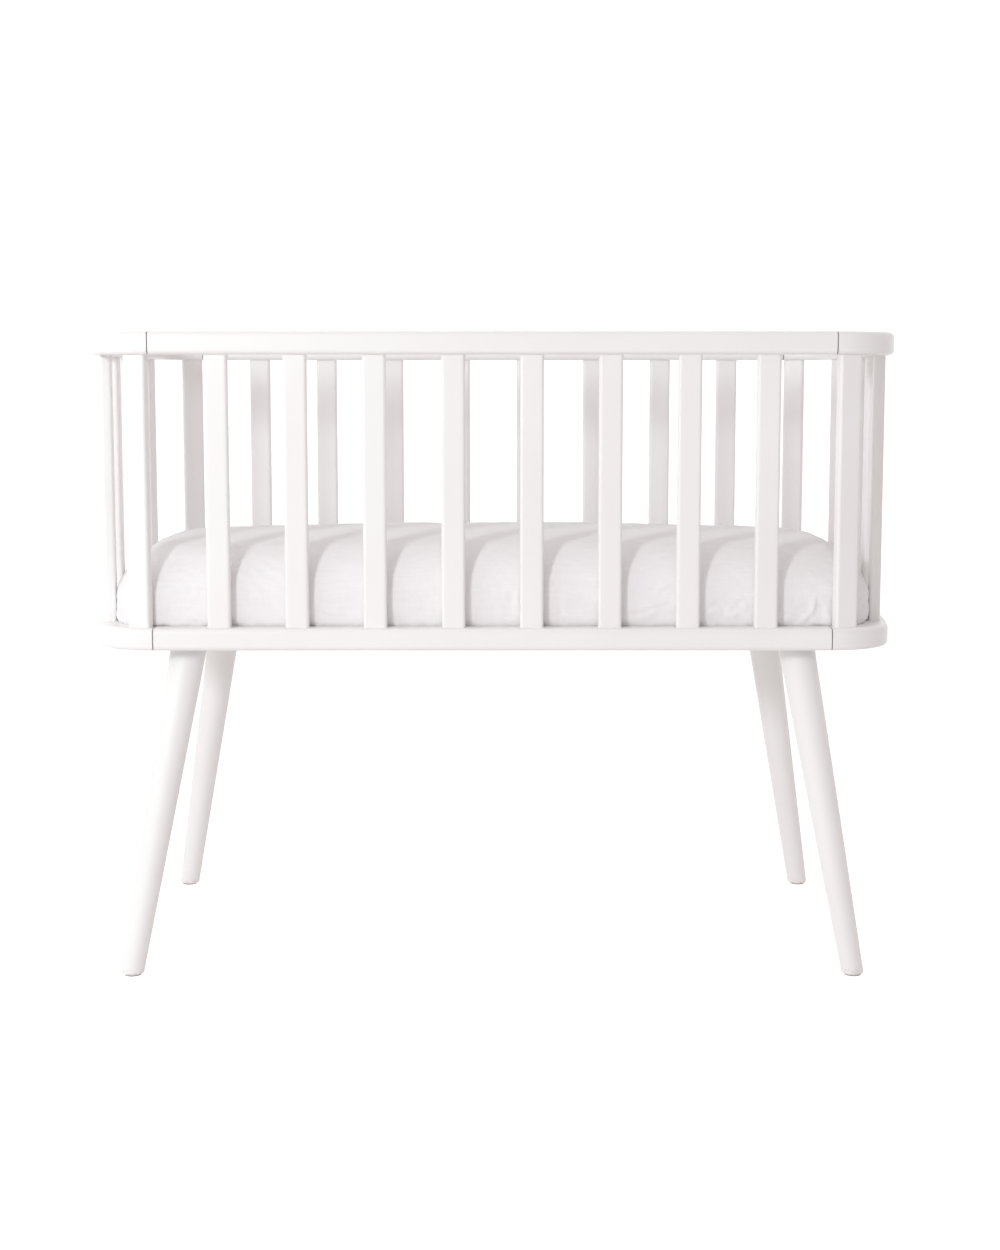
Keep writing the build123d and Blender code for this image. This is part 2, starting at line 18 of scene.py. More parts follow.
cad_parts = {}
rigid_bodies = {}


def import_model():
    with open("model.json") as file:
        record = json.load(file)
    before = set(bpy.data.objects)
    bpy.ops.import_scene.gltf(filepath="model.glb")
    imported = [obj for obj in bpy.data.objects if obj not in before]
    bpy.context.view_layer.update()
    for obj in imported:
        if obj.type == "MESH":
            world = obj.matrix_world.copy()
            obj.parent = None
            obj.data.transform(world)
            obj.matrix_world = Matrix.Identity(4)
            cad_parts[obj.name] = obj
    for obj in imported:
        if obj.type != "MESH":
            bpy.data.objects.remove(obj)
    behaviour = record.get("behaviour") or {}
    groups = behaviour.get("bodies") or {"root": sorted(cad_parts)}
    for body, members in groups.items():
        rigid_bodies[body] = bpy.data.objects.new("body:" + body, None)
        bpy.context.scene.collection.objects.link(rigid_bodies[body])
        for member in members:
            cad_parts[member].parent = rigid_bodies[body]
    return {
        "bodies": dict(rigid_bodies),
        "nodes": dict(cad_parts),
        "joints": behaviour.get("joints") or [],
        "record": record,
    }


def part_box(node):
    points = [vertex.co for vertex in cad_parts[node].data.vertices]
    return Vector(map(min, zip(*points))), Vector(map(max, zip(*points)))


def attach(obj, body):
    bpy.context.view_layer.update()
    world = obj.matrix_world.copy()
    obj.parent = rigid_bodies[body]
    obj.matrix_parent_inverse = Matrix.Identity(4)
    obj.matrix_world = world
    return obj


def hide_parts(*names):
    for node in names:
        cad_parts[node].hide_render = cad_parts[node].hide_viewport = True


log = logging.getLogger("cradle")

Array = np.ndarray
Piece = bpy.types.Object
Tree = bpy.types.NodeTree
Node = bpy.types.Node
Socket = bpy.types.NodeSocket

MM = 0.001
# Nearly all of Blender's noise lies in this range, which is read as a share from 0 to 1.
NOISE_RANGE = {"From Min": 0.3, "From Max": 0.7}


def linear(code: str) -> tuple[float, float, float, float]:
    """Turn an sRGB hex colour into linear RGBA.

    Args:
        code: Six hex digits after a hash sign.

    Returns:
        Linear red, green, blue and an alpha of one.
    """
    parts = [int(code[i : i + 2], 16) / 255 for i in (1, 3, 5)]
    red, green, blue = (c / 12.92 if c <= 0.04045 else ((c + 0.055) / 1.055) ** 2.4 for c in parts)
    return red, green, blue, 1.0


def connect(tree: Tree, node: Node, links: dict[str, Node | Socket]) -> None:
    """Feed inputs of a node.

    Args:
        tree: Node tree that holds the node.
        node: The node that is fed.
        links: Sockets, or nodes for their first output, by the name or number of the input they feed.
    """
    for key, source in links.items():
        target = node.inputs[int(key)] if key.isdigit() else node.inputs[key]
        tree.links.new(source.outputs[0] if isinstance(source, Node) else source, target)


def add_node(
    tree: Tree,
    kind: str,
    settings: dict[str, object] | None = None,
    links: dict[str, Node | Socket] | None = None,
) -> Node:
    """Add a node with its settings and links.

    Args:
        tree: Node tree that gets the node.
        kind: Blender's name of the node type, after "ShaderNode".
        settings: Properties or input values, by name or by input number.
        links: Sockets, or nodes for their first output, by the name or number of the input they feed.

    Returns:
        The new node.
    """
    node = tree.nodes.new("ShaderNode" + kind)
    for key, value in (settings or {}).items():
        if key.isdigit():
            node.inputs[int(key)].default_value = value
        elif key in node.bl_rna.properties:
            setattr(node, key, value)
        else:
            node.inputs[key].default_value = value
    connect(tree, node, links or {})
    return node


class Grain(Enum):
    """Way in which the wood's grain runs, as noise scales per metre along X, Y and Z.

    Beech pores are about 0.1 mm wide, too fine to show, so they are drawn 1.4 mm wide and 70 mm long.
    """

    ALONG_X = (14.0, 700.0, 700.0)
    ALONG_Y = (700.0, 14.0, 700.0)
    ALONG_Z = (700.0, 700.0, 14.0)


@dataclass(frozen=True)
class Finish:
    """What every finish shares: its name, its colour and how rough it is."""

    name: str
    colour: str
    roughness: float

    def build(self) -> bpy.types.Material:
        """Make the material.

        Returns:
            A node material named for the finish.
        """
        material = bpy.data.materials.new(self.name)
        material.use_nodes = True
        tree = material.node_tree
        shader = tree.nodes["Principled BSDF"]
        shader.inputs["Base Color"].default_value = linear(self.colour)
        shader.inputs["Roughness"].default_value = self.roughness
        place = add_node(tree, "TexCoord").outputs["Object"]
        self.dress(tree, shader, place)
        return material

    def dress(self, tree: Tree, shader: Node, place: Socket) -> None:
        """Add the finish's own detail to a shader that has its plain colour and roughness."""


@dataclass(frozen=True)
class SprayedBeech(Finish):
    """Beech under sprayed satin lacquer: opaque white, a soft sheen, a trace of grain and orange peel."""

    grain: Grain = Grain.ALONG_Z
    grain_depth: float = 0.05 * MM
    shade: str = "#F1EFEE"
    blotch_size: float = 160 * MM
    # Orange peel of a spray gun: dimples 2 to 3 mm wide, which break up the edge of a reflection
    peel_size: float = 2.6 * MM
    peel_depth: float = 0.03 * MM
    sheen_size: float = 14 * MM
    sheen_drift: float = 0.05
    coat: float = 0.12
    coat_roughness: float = 0.28
    scuffed: bool = False
    scuff: str = "#C9C1BA"
    scuff_size: float = 5 * MM
    scuff_bottom: float = 2 * MM
    scuff_top: float = 11 * MM
    seam_x: float = 0.0
    # Dark hairline at the seams: a crack in the lacquer, and painted shade of the V-groove
    seam_crack_and_shade: str = "#7D7570"
    seam_width: float = 0.8 * MM

    def dress(self, tree: Tree, shader: Node, place: Socket) -> None:
        """Add the tone drift, the grain under the lacquer, the orange peel, the scuffs and the dark seam
        lines, which are partly painted shade of the V-grooves.

        Args:
            tree: The material's nodes.
            shader: Its shader.
            place: Object coordinates.
        """
        blotches = add_node(tree, "TexNoise", {"Scale": 1 / self.blotch_size}, {"Vector": place})
        drift = add_node(tree, "MapRange", NOISE_RANGE, {"Value": blotches})
        settings = {"data_type": "RGBA", "6": linear(self.colour), "7": linear(self.shade)}
        colour = add_node(tree, "Mix", settings, {"0": drift}).outputs[2]
        if self.scuffed:
            colour = self.scuff_feet(tree, place, colour)
        # Seam lines: lacquer cracks with painted shade of the V-grooves
        if self.seam_x > 0:
            colour = self.paint_seam_crack_and_shade(tree, place, colour)
        stretched = add_node(tree, "Mapping", {"Scale": self.grain.value}, {"Vector": place})
        pores = add_node(tree, "TexNoise", {"Scale": 1.0, "Detail": 3.0}, {"Vector": stretched})
        settings = {"Distance": self.grain_depth, "Strength": 0.35}
        under = add_node(tree, "Bump", settings, {"Height": pores})
        peel = add_node(tree, "TexNoise", {"Scale": 1 / self.peel_size}, {"Vector": place})
        settings = {"Distance": self.peel_depth, "Strength": 0.5}
        skin = add_node(tree, "Bump", settings, {"Height": peel, "Normal": under})
        settings = {"Scale": 1 / self.sheen_size, "Detail": 4.0}
        patches = add_node(tree, "TexNoise", settings, {"Vector": place})
        low, high = self.roughness - self.sheen_drift, self.roughness + self.sheen_drift
        settings = NOISE_RANGE | {"To Min": low, "To Max": high}
        sheen = add_node(tree, "MapRange", settings, {"Value": patches})
        connect(tree, shader, {"Base Color": colour, "Roughness": sheen, "Normal": skin})
        shader.inputs["Coat Weight"].default_value = self.coat
        shader.inputs["Coat Roughness"].default_value = self.coat_roughness

    def scuff_feet(self, tree: Tree, place: Socket, colour: Socket) -> Socket:
        """Rub the lacquer grey within a centimetre of the floor.

        Args:
            tree: The material's nodes.
            place: Object coordinates.
            colour: Colour of the sound lacquer.

        Returns:
            The colour with its scuffs.
        """
        height = add_node(tree, "SeparateXYZ", links={"0": place}).outputs["Z"]
        settings = {"From Min": self.scuff_bottom, "From Max": self.scuff_top, "To Min": 0.8, "To Max": 0.0}
        low = add_node(tree, "MapRange", settings, {"Value": height})
        rubs = add_node(tree, "TexNoise", {"Scale": 1 / self.scuff_size, "Detail": 4.0}, {"Vector": place})
        patch = add_node(tree, "MapRange", NOISE_RANGE | {"To Min": -0.6, "To Max": 0.9}, {"Value": rubs})
        settings = {"operation": "MULTIPLY", "use_clamp": True}
        share = add_node(tree, "Math", settings, {"0": low, "1": patch})
        settings = {"data_type": "RGBA", "7": linear(self.scuff)}
        return add_node(tree, "Mix", settings, {"0": share, "6": colour}).outputs[2]

    def paint_seam_crack_and_shade(self, tree: Tree, place: Socket, colour: Socket) -> Socket:
        """Paint a dark hairline at the glued seams: a crack where the lacquer ends, and painted shade of the
        V-groove.

        Args:
            tree: The material's nodes.
            place: Object coordinates.
            colour: Colour beside the seams.

        Returns:
            The colour with its lines.
        """
        along = add_node(tree, "SeparateXYZ", links={"0": place}).outputs["X"]
        side = add_node(tree, "Math", {"operation": "ABSOLUTE"}, {"0": along})
        past = add_node(tree, "Math", {"operation": "SUBTRACT", "1": self.seam_x}, {"0": side})
        off = add_node(tree, "Math", {"operation": "ABSOLUTE"}, {"0": past})
        settings = {"From Min": 0.35 * self.seam_width, "From Max": self.seam_width}
        share = add_node(tree, "MapRange", settings | {"To Min": 1.0, "To Max": 0.0}, {"Value": off})
        settings = {"data_type": "RGBA", "7": linear(self.seam_crack_and_shade)}
        return add_node(tree, "Mix", settings, {"0": share, "6": colour}).outputs[2]


@dataclass(frozen=True)
class RolledPlywood(Finish):
    """Birch plywood under rolled white paint: evenly stippled, with bare plies in the walls of the holes."""

    ply_light: str = "#D9BE96"
    ply_dark: str = "#B48E63"
    ply_thickness: float = 1.5 * MM
    # Stipple of a short-haired roller
    stipple_size: float = 1.8 * MM
    stipple_depth: float = 0.08 * MM

    def dress(self, tree: Tree, shader: Node, place: Socket) -> None:
        """Add roller stipple on the faces and the plies on the upright walls.

        Args:
            tree: The material's nodes.
            shader: Its shader.
            place: Object coordinates.
        """
        height = add_node(tree, "SeparateXYZ", links={"0": place}).outputs["Z"]
        settings = {"operation": "PINGPONG", "1": self.ply_thickness}
        band = add_node(tree, "Math", settings, {"0": height})
        settings = {"From Min": 0.4 * self.ply_thickness, "From Max": 0.6 * self.ply_thickness}
        layer = add_node(tree, "MapRange", settings, {"Value": band})
        settings = {"data_type": "RGBA", "6": linear(self.ply_light), "7": linear(self.ply_dark)}
        plies = add_node(tree, "Mix", settings, {"0": layer}).outputs[2]
        normal = add_node(tree, "NewGeometry").outputs["True Normal"]
        upward = add_node(tree, "SeparateXYZ", links={"0": normal}).outputs["Z"]
        level = add_node(tree, "Math", {"operation": "ABSOLUTE"}, {"0": upward})
        painted = add_node(tree, "Math", {"operation": "GREATER_THAN", "1": 0.5}, {"0": level})
        settings = {"data_type": "RGBA", "7": linear(self.colour)}
        colour = add_node(tree, "Mix", settings, {"0": painted, "6": plies}).outputs[2]
        settings = {"Scale": 1 / self.stipple_size, "Detail": 3.0}
        stipple = add_node(tree, "TexNoise", settings, {"Vector": place})
        settings = {"Distance": self.stipple_depth, "Strength": 0.5}
        skin = add_node(tree, "Bump", settings, {"Height": stipple})
        connect(tree, shader, {"Base Color": colour, "Normal": skin})


@dataclass(frozen=True)
class TurnedBeech(Finish):
    """Bare turned beech dowel: warm tan with short dark flecks along the grain."""

    fleck: str = "#A97F52"
    # Ray flecks about 1 mm wide and 6 mm long, as noise scales per metre
    fleck_scale: tuple[float, float, float] = (900.0, 900.0, 160.0)
    fleck_depth: float = 0.05 * MM

    def dress(self, tree: Tree, shader: Node, place: Socket) -> None:
        """Add the flecks of the medullary rays.

        Args:
            tree: The material's nodes.
            shader: Its shader.
            place: Object coordinates.
        """
        stretched = add_node(tree, "Mapping", {"Scale": self.fleck_scale}, {"Vector": place})
        rays = add_node(tree, "TexNoise", {"Scale": 1.0, "Detail": 4.0}, {"Vector": stretched})
        share = add_node(tree, "MapRange", NOISE_RANGE | {"To Max": 0.6}, {"Value": rays})
        settings = {"data_type": "RGBA", "6": linear(self.colour), "7": linear(self.fleck)}
        colour = add_node(tree, "Mix", settings, {"0": share}).outputs[2]
        settings = {"Distance": self.fleck_depth, "Strength": 0.5}
        skin = add_node(tree, "Bump", settings, {"Height": share})
        connect(tree, shader, {"Base Color": colour, "Normal": skin})


@dataclass(frozen=True)
class ZincPlatedSteel(Finish):
    """Zinc plated mild steel: a cool grey metal with the cloudy bloom of the plating bath."""

    bloom: str = "#9DA2A8"
    bloom_size: float = 9 * MM
    haze_size: float = 5 * MM
    # Rolling marks 0.4 mm wide along X, as noise scales per metre
    rolled_scale: tuple[float, float, float] = (60.0, 2500.0, 2500.0)
    rolled_depth: float = 0.01 * MM

    def dress(self, tree: Tree, shader: Node, place: Socket) -> None:
        """Add the cloudy bloom and fine rolling marks.

        Args:
            tree: The material's nodes.
            shader: Its shader.
            place: Object coordinates.
        """
        shader.inputs["Metallic"].default_value = 1.0
        settings = {"Scale": 1 / self.bloom_size, "Detail": 5.0}
        clouds = add_node(tree, "TexNoise", settings, {"Vector": place})
        share = add_node(tree, "MapRange", NOISE_RANGE, {"Value": clouds})
        settings = {"data_type": "RGBA", "6": linear(self.colour), "7": linear(self.bloom)}
        colour = add_node(tree, "Mix", settings, {"0": share}).outputs[2]
        settings = {"Scale": 1 / self.haze_size, "Detail": 4.0}
        haze = add_node(tree, "TexNoise", settings, {"Vector": place})
        settings = NOISE_RANGE | {"To Min": self.roughness - 0.08, "To Max": self.roughness + 0.1}
        rough = add_node(tree, "MapRange", settings, {"Value": haze})
        stretched = add_node(tree, "Mapping", {"Scale": self.rolled_scale}, {"Vector": place})
        marks = add_node(tree, "TexNoise", {"Scale": 1.0}, {"Vector": stretched})
        settings = {"Distance": self.rolled_depth, "Strength": 0.5}
        skin = add_node(tree, "Bump", settings, {"Height": marks})
        connect(tree, shader, {"Base Color": colour, "Roughness": rough, "Normal": skin})


@dataclass(frozen=True)
class PressedFelt(Finish):
    """Pressed wool felt: matt, mottled and slightly hairy.

    Real fibres are about 0.03 mm thick, too fine to show, so matted tufts of 0.9 mm are drawn.
    """

    strand: str = "#8E8780"
    tuft_size: float = 0.9 * MM
    tuft_depth: float = 0.4 * MM

    def dress(self, tree: Tree, shader: Node, place: Socket) -> None:
        """Add mottling and matted tufts.

        Args:
            tree: The material's nodes.
            shader: Its shader.
            place: Object coordinates.
        """
        settings = {"Scale": 1 / self.tuft_size, "Detail": 6.0}
        tufts = add_node(tree, "TexNoise", settings, {"Vector": place})
        share = add_node(tree, "MapRange", NOISE_RANGE, {"Value": tufts})
        settings = {"data_type": "RGBA", "6": linear(self.colour), "7": linear(self.strand)}
        colour = add_node(tree, "Mix", settings, {"0": share}).outputs[2]
        settings = {"Distance": self.tuft_depth, "Strength": 0.8}
        skin = add_node(tree, "Bump", settings, {"Height": tufts})
        connect(tree, shader, {"Base Color": colour, "Normal": skin})
        shader.inputs["Sheen Weight"].default_value = 0.3


@dataclass(frozen=True)
class WovenCotton(Finish):
    """Plain woven cotton: matt, softly fuzzy, with uneven yarns.

    Real yarns lie about 0.4 mm apart, which no view of the whole cradle shows, so they are drawn coarser.
    """

    shade: str = "#F1EFF0"
    yarn_spacing: float = 1.1 * MM
    yarn_depth: float = 0.12 * MM
    slub_length: float = 26 * MM
    slub_width: float = 1.6 * MM
    slub_depth: float = 0.1 * MM

    def dress(self, tree: Tree, shader: Node, place: Socket) -> None:
        """Add warp and weft, thick and thin yarns, and a faint drift of tone.

        Args:
            tree: The material's nodes.
            shader: Its shader.
            place: Object coordinates.
        """
        split = add_node(tree, "SeparateXYZ", links={"0": place})
        waves = []
        for axis in ("X", "Y", "Z"):
            settings = {"operation": "MULTIPLY", "1": 2 * math.pi / self.yarn_spacing}
            turns = add_node(tree, "Math", settings, {"0": split.outputs[axis]})
            waves.append(add_node(tree, "Math", {"operation": "SINE"}, {"0": turns}))
        pair = add_node(tree, "Math", links={"0": waves[0], "1": waves[1]})
        weave = add_node(tree, "Math", links={"0": pair, "1": waves[2]})
        long, thin = 1 / self.slub_length, 1 / self.slub_width
        yarns = []
        for scale in ((long, long, thin), (thin, thin, long)):
            stretched = add_node(tree, "Mapping", {"Scale": scale}, {"Vector": place})
            yarns.append(add_node(tree, "TexNoise", {"Scale": 1.0}, {"Vector": stretched}))
        slub = add_node(tree, "Math", links={"0": yarns[0], "1": yarns[1]})
        drift = add_node(tree, "MapRange", {"From Min": 0.7, "From Max": 1.3}, {"Value": slub})
        settings = {"data_type": "RGBA", "6": linear(self.colour), "7": linear(self.shade)}
        colour = add_node(tree, "Mix", settings, {"0": drift}).outputs[2]
        under = add_node(tree, "Bump", {"Distance": self.slub_depth, "Strength": 0.6}, {"Height": slub})
        settings = {"Distance": self.yarn_depth, "Strength": 0.25}
        skin = add_node(tree, "Bump", settings, {"Height": weave, "Normal": under})
        connect(tree, shader, {"Base Color": colour, "Normal": skin})
        shader.inputs["Sheen Weight"].default_value = 0.2
        shader.inputs["Sheen Roughness"].default_value = 0.5


@dataclass(frozen=True)
class StudioPaper(Finish):
    """Matt white background paper with a lift, so that it stays as pale as the room around it."""

    glow: str = "#FFFDFC"
    lift: float = 0.72
    tooth_size: float = 2 * MM
    tooth_depth: float = 0.05 * MM

    def dress(self, tree: Tree, shader: Node, place: Socket) -> None:
        """Add the lift and a trace of paper tooth.

        Args:
            tree: The material's nodes.
            shader: Its shader.
            place: Object coordinates.
        """
        shader.inputs["Specular IOR Level"].default_value = 0.0
        shader.inputs["Emission Color"].default_value = linear(self.glow)
        shader.inputs["Emission Strength"].default_value = self.lift
        tooth = add_node(tree, "TexNoise", {"Scale": 1 / self.tooth_size}, {"Vector": place})
        settings = {"Distance": self.tooth_depth, "Strength": 0.2}
        connect(tree, shader, {"Normal": add_node(tree, "Bump", settings, {"Height": tooth})})


@dataclass
class RingPlan:
    """Plan of the two rings: straight long sides, round corners and slightly bowed ends."""

    half_straight: float
    side_line: float
    corner_radius: float = 59 * MM
    bow_radius: float = 1000 * MM
    rail_width: float = 30 * MM

    @classmethod
    def from_frame(cls) -> "RingPlan":
        """Take the straight sides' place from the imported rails."""
        low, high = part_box("upper_back_rail")
        return cls(half_straight=high.x, side_line=(low.y + high.y) / 2)

    @property
    def corner_y(self) -> float:
        """How far the corners' centres lie from the middle line."""
        return self.side_line - self.corner_radius

    @property
    def bow_angle(self) -> float:
        """Half the turn of a bowed end, in radians."""
        return math.asin(self.corner_y / (self.bow_radius - self.corner_radius))

    @property
    def bow_x(self) -> float:
        """Where the centre of the right end's bow lies along X."""
        return self.half_straight - (self.bow_radius - self.corner_radius) * math.cos(self.bow_angle)

    def measure(self, points: Array) -> tuple[Array, Array]:
        """Distance outside the rings' centreline, and the way outwards, seen from above.

        Args:
            points: Rows of x, y and z.

        Returns:
            The distance of each row, negative inside, and its outward unit vector in x and y.
        """
        x, y = np.abs(points[:, 0]), np.abs(points[:, 1])
        signs = np.where(points[:, :2] < 0, -1.0, 1.0)
        way = np.zeros((len(points), 2))
        away = y - self.side_line
        way[:, 1] = 1.0
        corner = np.stack((x - self.half_straight, y - self.corner_y), axis=1)
        bow = np.stack((x - self.bow_x, y), axis=1)
        turn = np.arctan2(bow[:, 1], np.maximum(bow[:, 0], 1e-9))
        in_bow = (x > self.half_straight) & (turn < self.bow_angle)
        in_corner = (x > self.half_straight) & ~in_bow
        bends = ((in_corner, corner, self.corner_radius), (in_bow, bow, self.bow_radius))
        for chosen, arm, radius in bends:
            length = np.maximum(np.linalg.norm(arm[chosen], axis=1), 1e-9)
            away[chosen] = length - radius
            way[chosen] = arm[chosen] / length[:, None]
        return away, way * signs


def smooth(value: Array, low: float, high: float) -> Array:
    """Ease from 0 at low to 1 at high.

    Args:
        value: Numbers on either side of the two limits or between them.
        low: Where the rise starts.
        high: Where it ends.

    Returns:
        The eased share of each number.
    """
    t = np.clip((value - low) / (high - low), 0.0, 1.0)
    return t * t * (3 - 2 * t)


def read_points(piece: Piece) -> Array:
    """Read the vertices of a mesh.

    Args:
        piece: Mesh object.

    Returns:
        Rows of x, y and z.
    """
    points = np.zeros(len(piece.data.vertices) * 3)
    piece.data.vertices.foreach_get("co", points)
    return points.reshape(-1, 3)


def write_points(piece: Piece, points: Array) -> None:
    """Put rows of x, y and z into the vertices of a mesh."""
    piece.data.vertices.foreach_set("co", points.ravel())
    piece.data.update()


def read_normals(piece: Piece) -> Array:
    """The vertex normals of a mesh."""
    return np.array([n.vector for n in piece.data.vertex_normals], float).reshape(-1, 3)


def choose(piece: Piece) -> None:
    """Make a piece the only selected and the active object.

    Args:
        piece: The object to work on next.
    """
    bpy.ops.object.select_all(action="DESELECT")
    piece.select_set(True)
    bpy.context.view_layer.objects.active = piece


def copy_node(node: Piece, name: str) -> Piece:
    """Copy a CAD node's mesh into a new object with its corners merged.

    Args:
        node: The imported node, which stays as it is.
        name: Name of the new object.

    Returns:
        The copy, alone selected.
    """
    piece = bpy.data.objects.new(name, node.data.copy())
    bpy.context.scene.collection.objects.link(piece)
    piece.data.materials.clear()
    choose(piece)
    bpy.ops.mesh.customdata_custom_splitnormals_clear()
    bpy.ops.object.mode_set(mode="EDIT")
    bpy.ops.mesh.select_all(action="SELECT")
    bpy.ops.mesh.remove_doubles(threshold=0.01 * MM)
    bpy.ops.object.mode_set(mode="OBJECT")
    return piece


def apply_modifier(piece: Piece, name: str) -> None:
    """Apply one modifier of a piece."""
    choose(piece)
    bpy.ops.object.modifier_apply(modifier=name)


def even_skin(piece: Piece, voxel: float) -> None:
    """Give a closed piece an even skin of small squares.

    Args:
        piece: Closed mesh object.
        voxel: Width of the squares.
    """
    remesh = piece.modifiers.new("EvenSkin", "REMESH")
    remesh.mode = "VOXEL"
    remesh.voxel_size = voxel
    apply_modifier(piece, remesh.name)


@dataclass
class MattressCore:
    """Foam mattress in its woven cover, pushed down between the rails so that it swells above them."""

    plan: RingPlan
    cover: Finish
    voxel: float = 6 * MM
    swell: float = 7.5 * MM
    side_rim: tuple[float, float] = (44 * MM, 40 * MM)
    end_rim: tuple[float, float] = (68 * MM, 56 * MM)
    end_drop: float = 9 * MM
    side_drop: float = 8 * MM
    sheet_room: float = 1.1 * MM
    rail_clearance: float = 1 * MM
    swell_start: float = 6 * MM
    swell_fade: float = 75 * MM
    swell_at_top: float = 0.35
    end_blend: tuple[float, float] = (60 * MM, 30 * MM)
    push_blend: tuple[float, float] = (90 * MM, 20 * MM)
    rail_top: float = field(init=False)
    bottom_z: float = field(init=False)
    top_z: float = field(init=False)

    def __post_init__(self) -> None:
        """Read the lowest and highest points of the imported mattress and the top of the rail."""
        low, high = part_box("mattress")
        self.bottom_z, self.top_z = low.z, high.z
        self.rail_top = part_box("lower_front_rail")[1].z

    def reach(self, height: Array) -> Array:
        """How far out from the rings' centreline the foam may come.

        Args:
            height: Heights above the floor.

        Returns:
            The distance at each height, negative inside the centreline.
        """
        inside = -self.plan.rail_width / 2 - self.rail_clearance - self.sheet_room
        rise = smooth(height, self.rail_top - self.rail_clearance, self.rail_top + self.swell_start)
        fall = 1 - smooth(height, self.top_z - self.swell_fade, self.top_z)
        return inside + self.swell * rise * (self.swell_at_top + (1 - self.swell_at_top) * fall)

    def round_rim(self, points: Array) -> None:
        """Bring the points above the soft upper rim down onto it.

        Args:
            points: Rows of x, y and z, which are changed in place.
        """
        away, way = self.plan.measure(points)
        inwards = self.reach(points[:, 2]) - away
        reach_x = self.plan.bow_x + self.plan.bow_radius
        crown = self.end_drop * (points[:, 0] / reach_x) ** 2
        crown += self.side_drop * (points[:, 1] / self.plan.side_line) ** 2
        before, after = self.end_blend
        seam = self.plan.half_straight
        at_end = smooth(np.abs(points[:, 0]), seam - before, seam + after)
        width, drop = (a + (b - a) * at_end for a, b in zip(self.side_rim, self.end_rim))
        spring = self.top_z - crown - drop
        across = np.clip(1 - inwards / width, 0.0, None)
        up = (points[:, 2] - spring) / drop
        length = np.hypot(across, up)
        over = (across > 0) & (up > 0) & (length > 1)
        back = across[over] * (1 - 1 / length[over]) * width[over]
        points[over, :2] -= way[over] * back[:, None]
        points[over, 2] = spring[over] + up[over] / length[over] * drop[over]

    def build(self, node: Piece) -> Piece:
        """Make the foam block.

        Args:
            node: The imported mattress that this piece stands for.

        Returns:
            The finished block.
        """
        core = copy_node(node, "mattress_core")
        even_skin(core, self.voxel)
        points = read_points(core)
        away, way = self.plan.measure(points)
        edge = smooth(away, -self.push_blend[0], -self.push_blend[1])
        push = self.reach(points[:, 2]) - self.reach(np.full(1, self.bottom_z))
        points[:, :2] += way * (push * edge)[:, None]
        away, way = self.plan.measure(points)
        over = np.maximum(away - self.reach(points[:, 2]), 0.0)
        points[:, :2] -= way * over[:, None]
        self.round_rim(points)
        points[:, 2] = np.maximum(points[:, 2], self.bottom_z)
        write_points(core, points)
        choose(core)
        bpy.ops.object.shade_smooth()
        core.data.materials.append(self.cover.build())
        return core


@dataclass(frozen=True)
class Crease:
    """Soft ridge in the sheet on the front side, from one point to another in x and z."""

    start: tuple[float, float]
    end: tuple[float, float]
    width: float
    height: float

    def lift(self, points: Array) -> Array:
        """How far the ridge lifts each point.

        Args:
            points: Rows of x, y and z.

        Returns:
            The lift of each row, highest in the middle of the ridge.
        """
        a, b = np.array(self.start), np.array(self.end)
        flat = points[:, [0, 2]]
        along = np.clip((flat - a) @ (b - a) / ((b - a) @ (b - a)), 0.0, 1.0)
        off = np.linalg.norm(flat - (a + along[:, None] * (b - a)), axis=1)
        fade = np.sin(np.pi * np.clip(along, 0.06, 0.94)) ** 0.7
        return self.height * fade * np.exp(-((off / self.width) ** 2))


